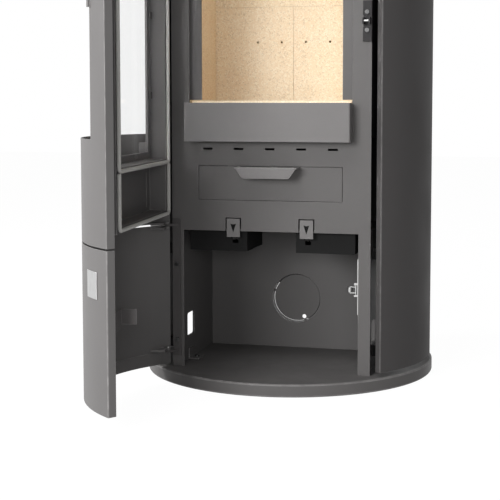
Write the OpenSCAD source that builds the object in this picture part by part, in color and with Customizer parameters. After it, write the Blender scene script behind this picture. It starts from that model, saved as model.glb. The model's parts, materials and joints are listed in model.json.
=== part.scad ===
// Wood-burning stove: round plinth, curved steel cladding, curved doors drawn standing open,
// firebox lined with insulating brick, ash drawer, wood compartment and a stone top.
// Millimetres, +Z up, origin in the middle of the plinth's underside, front towards -Y.

/* [Plinth and cladding] */
// outer radius of the curved cladding and doors
body_r = 266; // [262:1:270]
// how far the round plinth stands out beyond the cladding
base_out = 4; // [0:1:15]
// thickness of the plinth
base_t = 23; // [15:1:40]
// sheet thickness of cladding and door skins
sheet = 2; // [1.5:0.5:2]
// clear height between plinth and cladding
body_lift = 8; // [4:1:14]
// clear height between plinth and lower door
door_lift = 4; // [2:0.5:8]
// height of the cladding above the firebox shell
body_up = 90; // [70:5:160]
// gap between the doors' edges and the side cladding
panel_gap = 4.9; // [3:0.1:7]
// angle from the front at which the side cladding ends
panel_end = 112; // [105:1:125]
// depth of the folded front edge of cladding and doors
fold_w = 12.5; // [8:0.5:15]
// height of the rear cover's lower edge above the inlet spigot
rear_up = 15; // [6:1:60]
// how far the doors' edges run past the hinge line
door_lap = 8.7; // [6:0.1:10]

/* [Front plate] */
// depth of the door in front of the front plate
door_depth = 101; // [98:1:108]
// distance from the hinge line in to the plate's edge
plate_in = 5; // [3:0.1:9]
// thickness of the front plate
plate_t = 4; // [3:0.5:5]
// width of the plate beside the wood compartment
comp_edge = 21.5; // [20:0.5:29]
// height of the wood compartment above the plinth
comp_h = 250; // [180:2:320]
// width of the plate beside the firebox opening
fire_edge = 33.5; // [31:0.5:35]
// height of the firebox opening's lower edge above the shell's underside
fire_up = 60; // [56:1:64]
// height of the firebox opening
fire_h = 405; // [340:5:460]
// spacing of the five air slots
slot_pitch = 57; // [45:1:62]
// length of an air slot
slot_l = 18; // [10:1:30]
// height of an air slot
slot_h = 4; // [3:0.5:5]
// height of the air slots above the drawer front
slot_up = 31; // [25:1:34]

/* [Wood compartment] */
// how far the compartment is wider inside than its opening, each side
room_out = 11; // [7:1:12]
// thickness of the compartment's side walls
wall_t = 4; // [3:0.5:6]
// distance of the compartment's rear wall from the middle, to the back
room_back = 52; // [40:1:60]
// length of the see-through slot in each side wall
slit_l = 42; // [20:1:60]
// height of the see-through slot in each side wall
slit_h = 43; // [20:1:60]

/* [Air inlet] */
// outer radius of the air inlet spigot
inlet_r = 50; // [40:1:62.5]
// length of the spigot behind the rear wall
inlet_l = 45; // [30:1:60]
// height of the inlet's middle above the plinth
inlet_up = 97; // [80:1:120]
// radius of the small hole in the inlet's blank
inlet_dot = 4; // [2:0.5:6]

/* [Firebox] */
// how far the firebox is wider between its bricks than the opening, each side
hearth_out = 6; // [3:1:8]
// height of the firebox shell's underside above the air slots
shell_up = 20; // [12:1:24]
// height of the shell above the opening's upper edge
shell_over = 25; // [15:1:40]
// sheet thickness of the firebox shell
shell_t = 3; // [2:0.5:4]
// distance of the rear bricks' face from the middle, to the back
hearth_back = 25; // [18:1:32]
// depth of the air channel behind the rear bricks, which feeds their small air holes
back_air = 43; // [30:1:50]
// thickness of the side bricks
side_brick_t = 20; // [16:1:22]
// thickness of the rear bricks
brick_t = 23; // [18:1:25]
// thickness of the floor bricks
floor_t = 25; // [20:1:30]
// thickness of the brick baffle
baffle_t = 20; // [15:1:30]
// clear height of the smoke way above the baffle
smoke_h = 57; // [40:1:80]
// height of the joint between lower and upper rear bricks above the opening's lower edge
joint_up = 184; // [150:1:220]
// spacing of the four small air holes in the rear bricks
vent_pitch = 47; // [30:1:50]
// height of the small air holes above the opening's lower edge
vent_up = 117; // [60:1:145]
// side of the square grate
grate_w = 138; // [110:1:138]
// number of bars in the grate
grate_bars = 7; // [4:1:9]
// outer radius of the flue collar
flue_r = 78; // [60:1:82]
// how far the flue collar stands above the stone
flue_up = 12; // [6:1:20]

/* [Log guard] */
// how far the log guard is wider than the opening, each side
guard_lap = 1.5; // [0:0.5:2]
// height of the log guard
guard_h = 68; // [50:1:72]
// how far the log guard stands in front of the plate
guard_out = 30; // [20:1:31]

/* [Ash drawer] */
// distance from the plate's edge to the drawer front
drawer_edge = 51; // [50:1:65]
// height of the drawer front's lower edge above the wood compartment
drawer_up = 56; // [50:1:70]
// height of the drawer front
drawer_h = 60; // [50:1:61]
// depth of the drawer tray
drawer_l = 197; // [150:1:197]
// half width of the drawer handle at the front plate
pull_half = 56; // [40:1:80]
// how far the drawer handle stands out
pull_out = 33; // [20:1:34]

/* [Air tabs] */
// distance of each air tab from the middle
tab_x = 67; // [62:1:95]
// width of an air tab
tab_w = 24; // [18:1:30]
// height of an air tab
tab_h = 33; // [26:1:34]
// how far the tabs move down
tab_travel = 12; // [6:1:12]

/* [Doors] */
// angle by which the upper door stands open
upper_open = 85; // [80:0.25:90]
// angle by which the lower door stands open
lower_open = 85; // [80:0.25:90]
// distance of the hinge line inside the cladding's outer face
hinge_in = 7.5; // [7:0.25:8]
// distance of the hinge line in front of the front plate
hinge_out = 14; // [10:0.1:16]
// radius of the hinge pins
pin_r = 2.5; // [2:0.25:2.75]
// height of the gap between the doors above the wood compartment
split_up = 8; // [6:1:11]
// height of that gap
door_gap = 3; // [2:0.5:4]
// gap between the upper door and the top plate
door_top_gap = 4; // [2:0.5:8]
// height of the window's lower edge below the firebox opening's lower edge
window_under = 53; // [30:1:60]
// height of the window's upper edge above the firebox opening's upper edge
window_over = 20; // [0:1:35]
// distance from the firebox opening to the seal rope's middle
seal_out = 9; // [8:0.5:9]
// radius of the seal rope
rope_r = 3.5; // [3:0.25:3.5]
// distance from the drawer front down to the seal's lower rope
seal_under = 22; // [18:1:26]
// distance from the drawer front up to the seal's middle rope
seal_over = 9; // [7:1:13]
// distance from the firebox opening up to the seal's upper rope
seal_top = 52; // [36:1:60]
// thickness of the glass
glass_t = 4; // [3:0.5:4]
// lift of the latch that frees the upper door
latch_lift = 14; // [12:1:16]
// height of the latch's keeper pin above the firebox opening's lower edge
pin_up = 142; // [120:1:180]
// height of the grip above the keeper pin
grip_up = 63; // [55:1:80]
// length of the door's grip
grip_l = 130; // [90:1:135]
// height of the catch roller above the plinth
catch_up = 150; // [120:1:180]

/* [Top] */
// thickness of the steel top plate
top_t = 4; // [3:0.5:6]
// thickness of the stone slab
stone_t = 30; // [20:1:50]
// how far the stone slab stays inside the cladding
stone_in = 4; // [0:1:26]

/* [Hidden] */
$fn = 96;
eps = 0.01;
tiny = 0.3;
run = 0.05;
// radii and half widths
base_r = body_r + base_out;
in_r = body_r - sheet;
stone_r = body_r - stone_in;
hinge_r = body_r - hinge_in;
plate_y = body_r - door_depth;
plate_back = -plate_y + plate_t;
// hinge line, and the edges of doors and cladding beside it
hy = -plate_y - hinge_out;
hx = -sqrt(pow(hinge_r, 2) - pow(hy, 2));
hinge_a = asin(-hx / hinge_r);
door_half = hinge_a + atan(door_lap / body_r);
panel_start = door_half + atan(panel_gap / body_r);
plate_half = -hx - plate_in;
comp_half = plate_half - comp_edge;
fire_half = plate_half - fire_edge;
drawer_half = plate_half - drawer_edge;
guard_half = fire_half + guard_lap;
seal_half = fire_half + seal_out;
room_half = comp_half + room_out;
wall_out = room_half + wall_t;
hearth_half = fire_half + hearth_out;
// heights above the floor
body_low = base_t + body_lift;
door_bottom = base_t + door_lift;
ledge = base_t + comp_h;
inlet_z = base_t + inlet_up;
rear_from = inlet_z + inlet_r + rear_up;
catch_z = base_t + catch_up;
door_split = ledge + split_up;
drawer_z = ledge + drawer_up;
slot_z = drawer_z + drawer_h + slot_up;
shell_low = slot_z + shell_up;
fire_low = shell_low + fire_up;
fire_high = fire_low + fire_h;
shell_top = fire_high + shell_over;
body_top = shell_top + body_up;
brick_top = shell_top - shell_t - smoke_h - baffle_t;
brick_joint = fire_low + joint_up;
vent_z = fire_low + vent_up;
window_low = fire_low - window_under;
window_high = fire_high + window_over;
seal_low = drawer_z - seal_under;
seal_mid = drawer_z + drawer_h + seal_over;
seal_high = fire_high + seal_top;
pin_z = fire_low + pin_up;
grip_z = pin_z + grip_up;
ceil_t = 3;
// hinge arms
arm_t = 4;
arm_r = 5;
root = 1;
low_arm_up = 19;
top_arm_in = 20;
low_arm_z = body_low + low_arm_up;
mid_arm_z = door_split - 1;
top_arm_z = body_top - top_arm_in;
strip_t = 2;
strip_w = 15;
strip_x = -plate_half + 1;
// firebox
brick_gap = 1;
shell_half = hearth_half + side_brick_t + brick_gap;
shell_back = hearth_back + brick_t + back_air + brick_gap;
hearth_floor = shell_low + shell_t + floor_t;
side_from = -plate_y + 16;
keeper_y = -plate_y + 12;
keeper_w = 19.5;
keeper_in = fire_half - keeper_w;
front_y = -plate_y + 8;
front_t = 30;
front_in = 2;
front_half = fire_half - front_in;
sill = fire_low + 6;
mid_edge = 10.5;
mid_half = grate_w / 2 + mid_edge;
// upper door frame
bar = 5;
frame_in = seal_half - bar;
frame_out = seal_half + bar;
window_wide = 8;
window_half = frame_in + window_wide;
frame_gap = 5;
floor_gap = 4;
rim_y = -plate_y - 2 * rope_r - tiny;
floor_y = -sqrt(pow(in_r - frame_gap, 2) - pow(frame_out, 2));
floor_back = floor_y - floor_gap;
glass_edge = 18;
glass_open_half = frame_in - glass_edge;
glass_open_low = seal_mid + bar + 13;
glass_open_high = fire_high;
// latch
latch_gap = 8.25;
keep_half = 7.6;
latch_x = plate_half - keep_half;
latch_y = -sqrt(pow(in_r - latch_gap, 2) - pow(latch_x, 2));
rod_r = 4;
pin_out = 13.5;
pin_y = -plate_y - pin_out;
keep_r = 2.3;
keep_up = 35;
notch_up_z = 15;
notch_low = pin_z + notch_up_z;
grip_a = asin((window_half + 4) / body_r);
rod_a = atan(latch_x / -latch_y);
// ash drawer
slide_gap = 4;
tray_half = drawer_half - slide_gap;
tray_z = drawer_z + 1;
house_half = drawer_half + slide_gap;
house_back = -plate_y + drawer_l + 11;
// the grate lies over the ash housing and stays in front of the rear bricks
grate_over = 6;
grate_clear = 2;
grate_y = min(house_back + grate_over, hearth_back - grate_clear) - grate_w / 2;
// colours
c_black = [0.16, 0.15, 0.15];
c_plate = [0.38, 0.37, 0.37];
c_steel = [0.7, 0.7, 0.7];
c_brick = [0.9, 0.8, 0.62];
c_stone = [0.45, 0.46, 0.45];
c_rope = [0.68, 0.67, 0.65];

// Helpers
module arc_wall(r, t, from, to, z, h)
  rotate([0, 0, from - 90]) rotate_extrude(angle = to - from) translate([r - t, z]) square([t, h]);

module box(x0, x1, y0, y1, z0, z1)
  translate([x0, y0, z0]) cube([x1 - x0, y1 - y0, z1 - z0]);

module pillar(x, y, z, r, h)
  translate([x, y, z]) cylinder(r = r, h = h);

module swing(angle)
  translate([hx, hy, 0]) rotate([0, 0, -angle]) translate([-hx, -hy, 0]) children();

module both() {
  children();
  mirror([1, 0, 0]) children();
}

module ring(outer, inner) difference() {
  circle(r = outer);
  circle(r = inner);
}

// Plinth and wood compartment
base_edge = 2;
module base_plate() color(c_black)
  rotate_extrude() polygon([[0, 0], [base_r - base_edge, 0], [base_r, base_edge],
    [base_r, base_t - base_edge], [base_r - base_edge, base_t], [0, base_t]]);

bracket_y = -88;
bracket_l = 34;
bracket_w = 20;
bracket_t = 2;
screw_r = 4;
screw_h = 2.5;
module floor_brackets() color(c_black) both() {
  box(-room_half, -room_half + bracket_w, bracket_y - bracket_l / 2, bracket_y + bracket_l / 2,
    base_t, base_t + bracket_t);
  box(-room_half, -room_half + bracket_t, bracket_y - bracket_l / 2, bracket_y + bracket_l / 2,
    base_t, base_t + bracket_w);
}

slit_z = base_t + 44;
slit_y = -110;
slit_r = 5;
module inner_wall() difference() {
  box(-wall_out, -room_half, plate_back, room_back, base_t, ledge);
  box(-wall_out - 1, -room_half + 1, slit_y + slit_r, slit_y + slit_l - slit_r, slit_z, slit_z + slit_h);
  box(-wall_out - 1, -room_half + 1, slit_y, slit_y + slit_l, slit_z + slit_r, slit_z + slit_h - slit_r);
  for (y = [slit_y + slit_r, slit_y + slit_l - slit_r]) for (z = [slit_z + slit_r, slit_z + slit_h - slit_r])
    translate([-wall_out - 1, y, z]) rotate([0, 90, 0]) cylinder(r = slit_r, h = wall_out - room_half + 2);
}
module left_inner_wall() color(c_black) inner_wall();
module right_inner_wall() color(c_black) mirror([1, 0, 0]) inner_wall();

rear_wall_t = 3;
module along_y(y, h) translate([0, y, 0]) rotate([-90, 0, 0]) linear_extrude(height = h) children();
module rear_inner_wall() color(c_black) difference() {
  box(-wall_out, wall_out, room_back, room_back + rear_wall_t, base_t, ledge);
  along_y(room_back - 1, rear_wall_t + 2) translate([0, -inlet_z]) circle(r = inlet_r - spigot_t);
}
module ceiling_plate() color(c_black)
  box(-wall_out, wall_out, plate_back, room_back + rear_wall_t, ledge, ledge + ceil_t);

flange_w = 12;
spigot_t = 2;
module air_spigot() color(c_steel) {
  along_y(room_back + rear_wall_t, spigot_t) translate([0, -inlet_z])
    ring(inlet_r + flange_w, inlet_r - spigot_t);
  along_y(room_back + rear_wall_t, inlet_l) translate([0, -inlet_z])
    ring(inlet_r, inlet_r - spigot_t);
}
blank_set = 10;
dot_x = 14;
dot_z = -37;
slit_w = 1.4;
seat_w = 1.4;
bridge_w = 5;
seat_r = inlet_r - spigot_t;
module inlet_blank() color(c_black)
  along_y(room_back + blank_set, spigot_t) translate([0, -inlet_z]) {
    ring(seat_r, seat_r - seat_w);
    difference() {
      circle(r = seat_r - seat_w - slit_w);
      translate([dot_x, -dot_z]) circle(r = inlet_dot);
    }
    for (a = [-40, 70, 196]) rotate(a)
      translate([seat_r - seat_w - slit_w - root, -bridge_w / 2]) square([slit_w + 2 * root, bridge_w]);
  }

// Front plate
notch_side = 2.5;
notch_up = 2;
module front_plate() color(c_plate) difference() {
  box(-plate_half, plate_half, -plate_y, plate_back, base_t, body_top);
  box(-comp_half, comp_half, -plate_y - 1, plate_back + 1, base_t - 1, ledge);
  box(-drawer_half - 1, drawer_half + 1, -plate_y - 1, plate_back + 1, drawer_z - 1,
    drawer_z + drawer_h + 1);
  box(-fire_half, fire_half, -plate_y - 1, plate_back + 1, fire_low, fire_high);
  for (i = [-2 : 2])
    box(i * slot_pitch - slot_l / 2, i * slot_pitch + slot_l / 2, -plate_y - 1, plate_back + 1,
      slot_z - slot_h / 2, slot_z + slot_h / 2);
  for (s = [-1, 1])
    box(s * tab_x - tab_w / 2 - notch_side, s * tab_x + tab_w / 2 + notch_side, -plate_y - 1,
      plate_back + 1,
      ledge - 1, ledge + tab_h - tab_drop + notch_up);
}

// Ash drawer and its housing
house_t = 2;
module ash_housing() color(c_black) difference() {
  box(-house_half, house_half, plate_back, house_back + house_t, ledge + ceil_t, shell_low);
  box(-house_half + house_t, house_half - house_t, plate_back - 1, house_back, drawer_z + 0.8,
    shell_low + 1);
  box(-house_half + house_t, house_half - house_t, plate_back - 1, house_back, ledge + ceil_t - 1,
    drawer_z - house_t);
}
tray_h = 50;
tray_t = 2;
module ash_drawer() color(c_plate) {
  box(-drawer_half, drawer_half, -plate_y, -plate_y + 3, drawer_z, drawer_z + drawer_h);
  difference() {
    box(-tray_half, tray_half, -plate_y + 3 - root, -plate_y + drawer_l, tray_z, tray_z + tray_h);
    box(-tray_half + tray_t, tray_half - tray_t, -plate_y + 3, -plate_y + drawer_l - tray_t,
      tray_z + tray_t, tray_z + tray_h + 1);
  }
}
pull_t = 2.5;
pull_drop = 19.5;
pull_taper = 11.6;
pull_corner = 3;
pull_top = drawer_z + drawer_h;
module drawer_handle() color(c_plate) {
  box(-pull_half, pull_half, -plate_y - pull_out, -plate_y, pull_top - pull_t, pull_top);
  along_y(-plate_y - pull_out, pull_t) polygon([[-pull_half, -pull_top], [pull_half, -pull_top],
    [pull_half - pull_taper, -pull_top + pull_drop - pull_corner],
    [pull_half - pull_taper - pull_corner, -pull_top + pull_drop],
    [-pull_half + pull_taper + pull_corner, -pull_top + pull_drop],
    [-pull_half + pull_taper, -pull_top + pull_drop - pull_corner]]);
}

// Firebox
module firebox_shell() color(c_black) difference() {
  box(-shell_half - shell_t, shell_half + shell_t, plate_back, shell_back + shell_t, shell_low, shell_top);
  box(-shell_half, shell_half, plate_back - 1, shell_back, shell_low + shell_t, shell_top - shell_t);
  box(-chute_half, chute_half, grate_y - chute_half, grate_y + chute_half, shell_low - 1,
    shell_low + shell_t + 1);
  pillar(0, 0, shell_top - shell_t - 1, flue_r - 1, shell_t + 2);
}
chute_half = grate_w / 2 - 9;
module brick_side()
  box(-shell_half + brick_gap, -hearth_half, side_from, hearth_back - tiny, hearth_floor, brick_top);
module brick_left() color(c_brick) brick_side();
module brick_right() color(c_brick) mirror([1, 0, 0]) brick_side();

vent_r = 2.2;
module brick_back(s) difference() {
  box(s < 0 ? -shell_half + 1 : tiny, s < 0 ? -tiny : shell_half - 1, hearth_back, hearth_back + brick_t,
    hearth_floor, brick_joint - tiny);
  for (k = [0.5, 1.5])
    along_y(hearth_back - 1, brick_t + 2) translate([s * k * vent_pitch, -vent_z]) circle(r = vent_r);
}
module brick_back_left() color(c_brick) brick_back(-1);
module brick_back_right() color(c_brick) brick_back(1);
module brick_back_upper() color(c_brick)
  box(-shell_half + 1, shell_half - 1, hearth_back, hearth_back + brick_t, brick_joint - tiny, brick_top);
module brick_front() color(c_brick)
  box(-front_half, front_half, front_y, front_y + front_t, shell_low + shell_t, sill);
module floor_side() translate([0, 0, shell_low + shell_t]) linear_extrude(height = floor_t)
  polygon([[-shell_half + 1, side_from], [-front_half - tiny, side_from], [-front_half - tiny,
    front_y + front_t + tiny],
    [-mid_half - tiny, front_y + front_t + tiny], [-mid_half - tiny, hearth_back + brick_t],
      [-shell_half + 1, hearth_back + brick_t]]);
module brick_floor_left() color(c_brick) floor_side();
module brick_floor_right() color(c_brick) mirror([1, 0, 0]) floor_side();
module brick_floor_mid() color(c_brick) difference() {
  box(-mid_half, mid_half, front_y + front_t + tiny, hearth_back + brick_t, shell_low + shell_t,
    hearth_floor);
  box(-grate_w / 2 - 1, grate_w / 2 + 1, grate_y - grate_w / 2 - 1, grate_y + grate_w / 2 + 1,
    shell_low, hearth_floor + 1);
}
grate_rim = 10;
grate_bar_t = 12;
module grate() color(c_black) difference() {
  box(-grate_w / 2, grate_w / 2, grate_y - grate_w / 2, grate_y + grate_w / 2, shell_low + shell_t,
    hearth_floor);
  box(-grate_w / 2 + grate_rim, grate_w / 2 - grate_rim, grate_y - grate_w / 2 + grate_rim,
    grate_y + grate_w / 2 - grate_rim,
    shell_low, hearth_floor - grate_bar_t);
  for (i = [0 : grate_bars])
    box(-grate_w / 2 + grate_rim + grate_step * i + grate_step * 0.2,
      -grate_w / 2 + grate_rim + grate_step * i + grate_step * 0.8,
      grate_y - grate_w / 2 + grate_rim, grate_y + grate_w / 2 - grate_rim, shell_low, hearth_floor + 1);
}
grate_step = (grate_w - 2 * grate_rim) / (grate_bars + 1);
baffle_in = 65;
baffle_y = -plate_y + baffle_in;
module baffle_brick() color(c_brick)
  box(-shell_half + 1, shell_half - 1, baffle_y, shell_back - brick_gap, brick_top, brick_top + baffle_t);
module brick_keeper() box(-shell_half, -keeper_in, keeper_y, keeper_y + 3, sill + 1, fire_high + 10);
module brick_keeper_left() color(c_plate) brick_keeper();
module brick_keeper_right() color(c_plate) mirror([1, 0, 0]) brick_keeper();

// Log guard, lifts off the lower edge of the opening
guard_t = 3;
hook_t = 2;
hook_gap = 1;
module log_guard() color(c_plate) {
  box(-guard_half, guard_half, -plate_y - guard_out, -plate_y - guard_out + guard_t,
    fire_low + hook_t - guard_h, fire_low + hook_t);
  both() box(-guard_half, -guard_half + guard_t, -plate_y - guard_out, -plate_y - tiny,
    fire_low + hook_t - guard_h, fire_low);
  box(-guard_half + guard_t + hook_gap, guard_half - guard_t - hook_gap, -plate_y - guard_out, plate_back + 3,
    fire_low, fire_low + hook_t);
}

// Air tabs and their boxes under the ceiling
tab_drop = 11;
tab_top = ledge + tab_h - tab_drop;
air_in = tab_x - 22;
air_out = comp_half - 8;
air_front = -plate_y + 15;
air_l = 110;
air_rear = air_front + air_l;
air_h = 38;
stem_w = 10;
stem_h = 4;
shutter_y = air_front + 28;
module air_box() difference() {
  box(air_in, air_out, air_front, air_rear, ledge - air_h, ledge);
  box(air_in + 2, air_out - 2, air_front + 2, air_rear - 2, ledge - air_h + 2, ledge + 1);
  box(tab_x - stem_w / 2 - tiny, tab_x + stem_w / 2 + tiny, air_front - 1, air_front + 3,
    tab_top - tab_h - tab_travel - tiny, tab_top - tab_h + stem_h + tiny + 1);
}
module air_box_left() color(c_black) mirror([1, 0, 0]) air_box();
module air_box_right() color(c_black) air_box();
module air_tab() {
  box(tab_x - tab_w / 2, tab_x + tab_w / 2, -plate_y, -plate_y + 3, tab_top - tab_h, tab_top);
  box(tab_x - stem_w / 2, tab_x + stem_w / 2, -plate_y + 3 - root, shutter_y + root, tab_top - tab_h,
    tab_top - tab_h + stem_h);
  box(tab_x - 18, tab_x + 18, shutter_y, shutter_y + 2, tab_top - tab_h - 9, tab_top - tab_h + stem_h + 4);
}
module air_tab_left() color(c_plate) mirror([1, 0, 0]) air_tab();
module air_tab_right() color(c_plate) air_tab();

// Latch keeper on the front plate
keep_low = pin_z - keep_up;
keep_high = pin_z + keep_up;
keep_t = 3;
keep_end_t = 4;
keep_end_h = 25;
keep_screw = 15.5;
cheek_t = 2.6;
module latch_keeper() color(c_plate) {
  for (z = [keep_low, keep_high - keep_end_h])
    box(latch_x - keep_half, latch_x + keep_half, -plate_y - keep_end_t, -plate_y, z, z + keep_end_h);
  box(latch_x - keep_half + 1, latch_x + keep_half, -plate_y - keep_t, -plate_y, keep_low, keep_high);
  for (s = [-1, 1])
    box(latch_x + s * (keep_half - 1 - cheek_t / 2) - cheek_t / 2,
      latch_x + s * (keep_half - 1 - cheek_t / 2) + cheek_t / 2,
      pin_y - 4, -plate_y - keep_t + root, pin_z - 6, pin_z + 6);
}
module keeper_pin() color(c_steel)
  translate([latch_x - keep_half + 1 + cheek_t, pin_y, pin_z]) rotate([0, 90, 0])
    cylinder(r = keep_r, h = 2 * (keep_half - 1 - cheek_t));

// Lower door's roller catch inside the right column
strip_h = 98;
strip_low = catch_z - 43;
catch_y = -plate_y + 13;
arm_x = comp_half - 6;
roll_x = comp_half - 17;
roll_r = 5;
axle_r = 1.5;
module catch_strip() color(c_steel) {
  box(comp_half - 2, comp_half, plate_back, catch_y + 6, strip_low, strip_low + strip_h);
  box(comp_half - 2, comp_half + 9, plate_back, plate_back + 2, strip_low, strip_low + strip_h);
  for (z = [catch_z - 12, catch_z + 9]) difference() {
    box(arm_x - 3, comp_half - 2 + root, catch_y - 3, catch_y + 3, z, z + 3);
    pillar(arm_x, catch_y, z - 1, axle_r + run, 5);
  }
}
module catch_arm() color(c_steel) {
  pillar(arm_x, catch_y, catch_z - 12, axle_r, 24);
  pillar(arm_x, catch_y, catch_z - 8.5, 2.6, 17);
  for (z = [catch_z - 6, catch_z + 4.5]) translate([0, 0, z]) linear_extrude(height = 1.5)
    polygon([[arm_x, catch_y - 2.6], [arm_x, catch_y + 2.6], [roll_x, catch_y + 2.6], [roll_x - 2.2,
      catch_y],
      [roll_x, catch_y - 2.6]]);
  pillar(roll_x, catch_y, catch_z - 6, axle_r, 12);
}
module catch_roller() color(c_steel) difference() {
  pillar(roll_x, catch_y, catch_z - 4, roll_r, 8);
  pillar(roll_x, catch_y, catch_z - 5, axle_r + run, 10);
}

// Hinges
arm_w = 12;
arm_in = 0.5;
module hinge_arm(z) difference() {
  translate([0, 0, z]) linear_extrude(height = arm_t) union() {
    polygon([[strip_x + arm_in, -plate_y - strip_t + root], [strip_x + arm_w, -plate_y - strip_t + root],
      [hx + 2.2, hy - 4.5], [hx + 2.5, hy + 1]]);
    translate([hx, hy]) circle(r = arm_r);
  }
  pillar(hx, hy, z - 1, pin_r, arm_t + 2);
}
module hinge_strip_lower() color(c_black) {
  box(strip_x, strip_x + strip_w, -plate_y - strip_t, -plate_y, low_arm_z - 8, mid_arm_z + 14);
  hinge_arm(low_arm_z);
  hinge_arm(mid_arm_z);
}
module hinge_strip_upper() color(c_black) {
  box(strip_x, strip_x + strip_w, -plate_y - strip_t, -plate_y, top_arm_z - 40, top_arm_z + 12);
  hinge_arm(top_arm_z);
}
lug_t = 4;
lug_gap = 0.3;
module hinge_pins() color(c_steel) {
  pillar(hx, hy, low_arm_z, pin_r, arm_t + lug_gap + lug_t + 2);
  pillar(hx, hy, mid_arm_z - lug_gap - lug_t, pin_r, arm_t + 2 * lug_gap + 2 * lug_t);
  pillar(hx, hy, top_arm_z - lug_gap - lug_t, pin_r, arm_t + lug_gap + lug_t);
}
lug_l = 26;
module door_lug(z) difference() {
  translate([0, 0, z]) linear_extrude(height = lug_t) union() {
    translate([hx, hy]) circle(r = arm_r);
    intersection() {
      circle(r = in_r + eps);
      translate([hx, hy - lug_l]) square([lug_l, lug_l]);
    }
  }
  pillar(hx, hy, z - 1, pin_r + run, lug_t + 2);
}

// Upper door
cut_in = 20;
notch_w = 8;
notch_over = 10;
skin_slot_l = 35;
skin_slot_h = 4;
skin_slot_up = 32;
skin_slot_in = 13;
door_low = door_split + door_gap;
door_high = body_top - door_top_gap;
module door_shell(z0, z1) {
  arc_wall(body_r, sheet, -door_half, door_half, z0, z1 - z0);
  rotate([0, 0, door_half - 90]) box(in_r - fold_w, in_r + eps, -sheet, 0, z0, z1);
}
module upper_door_skin() color(c_plate) swing(upper_open) {
  difference() {
    door_shell(door_low, door_high);
    box(-window_half, window_half, -body_r - 1, -plate_y - cut_in, window_low, window_high);
    box(window_half - 1, window_half + notch_w, -body_r - 1, -plate_y - cut_in, notch_low,
      grip_z + grip_l + latch_lift + notch_over);
    box(-window_half - skin_slot_in, -window_half - skin_slot_in + skin_slot_l, -body_r - 1, -plate_y - cut_in,
      door_low + skin_slot_up, door_low + skin_slot_up + skin_slot_h);
  }
  door_lug(mid_arm_z + arm_t + lug_gap);
  door_lug(top_arm_z - lug_gap - lug_t);
  rotate([0, 0, grip_a - 90]) box(body_r - eps, body_r + 3, -8, 0, notch_low - 11, notch_low);
}
rim_step = 8;
module frame_ring(y0, y1) difference() {
  union() {
    box(-frame_out, frame_out, y0 + rim_step, y1, seal_low - bar, seal_high + bar);
    box(-seal_half, seal_half, y0, y1, seal_low - bar, seal_high + bar);
  }
  box(-frame_in, frame_in, y0 - 1, y1 + 1, seal_low + bar, seal_mid - bar);
  box(-frame_in, frame_in, y0 - 1, y1 + 1, seal_mid + bar, seal_high - bar);
}
mount_h = 20;
mount_low = 18;
mount_mid = 14;
mount_top = 22;
module upper_door_frame() color(c_plate) swing(upper_open) {
  frame_ring(floor_y, rim_y);
  difference() {
    box(-frame_in - 4, frame_in + 4, floor_back, floor_y, seal_low - bar, seal_high + bar);
    box(-glass_open_half, glass_open_half, floor_back - 1, floor_y + 1, glass_open_low, glass_open_high);
    box(-glass_open_half + 4, -glass_open_half + 6, floor_back - 1, floor_y + 1, seal_low + bar + 8,
      seal_mid - bar - 14);
  }
  intersection() {
    pillar(0, 0, 0, in_r - run, body_top);
    union() for (z = [seal_low + mount_low, seal_mid + mount_mid, seal_high - mount_top]) both()
      box(frame_in - 8, frame_out, -body_r, floor_y, z, z + mount_h);
  }
}
module door_glass() color([0.85, 0.9, 0.9, 0.4]) swing(upper_open)
  box(-frame_in + 2, frame_in - 2, floor_y, floor_y + glass_t, seal_mid + bar + 2, seal_high - bar - 2);
clip_w = 12;
clip_low = 15;
clip_top = 60;
module glass_clips() color(c_steel) swing(upper_open)
  for (z = [fire_low + clip_low, pin_z + clip_w, fire_high - clip_top]) both()
    box(frame_in - clip_w, frame_in, floor_y + glass_t, floor_y + glass_t + 2.2, z - clip_w / 2,
      z + clip_w / 2);

module rope_run(length) cylinder(r = rope_r, h = length);
module rope_loop(z0, z1, skip) {
  y = -plate_y - rope_r - tiny;
  for (s = [-1, 1]) translate([s * seal_half, y, z0]) rope_run(z1 - z0);
  for (z = [z0, z1]) if (z != skip) {
    translate([-seal_half, y, z]) rotate([0, 90, 0]) rope_run(2 * seal_half);
    for (s = [-1, 1]) translate([s * seal_half, y, z]) sphere(r = rope_r);
  }
}
module seal_upper() color(c_rope) swing(upper_open) rope_loop(seal_mid, seal_high, -1);
module seal_lower() color(c_rope) swing(upper_open)
  rope_loop(seal_low, seal_mid - rope_r - tiny, seal_mid - rope_r - tiny);

// Latch, slides down to lock
guide_t = 10;
guide_up = 70;
module latch_guides() color(c_black) swing(upper_open)
  for (z = [keep_high - 2, grip_z + guide_up]) difference() {
    box(frame_out, latch_x + 5.3, latch_y - 5.5, latch_y + 6, z, z + guide_t);
    pillar(latch_x, latch_y, z - 1, rod_r + run, guide_t + 2);
  }
claw_half = 2.5;
rod_over = 90;
bar_up = 40;
claw_t = 3.2;
claw_back = 7.3;
module latch_rod() color(c_black) swing(upper_open) translate([0, 0, latch_lift]) {
  pillar(latch_x, latch_y, pin_z - 2, rod_r, grip_z + rod_over - pin_z);
  box(latch_x - claw_half, latch_x + claw_half, latch_y, -plate_y - claw_back, pin_z + 6, pin_z + 13);
  box(latch_x - claw_half, latch_x + claw_half, -plate_y - claw_back - claw_t, -plate_y - claw_back,
    pin_z - 5, pin_z + 13);
}
grip_reach = 8;
grip_out = 10;
grip_t = 5;
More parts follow.
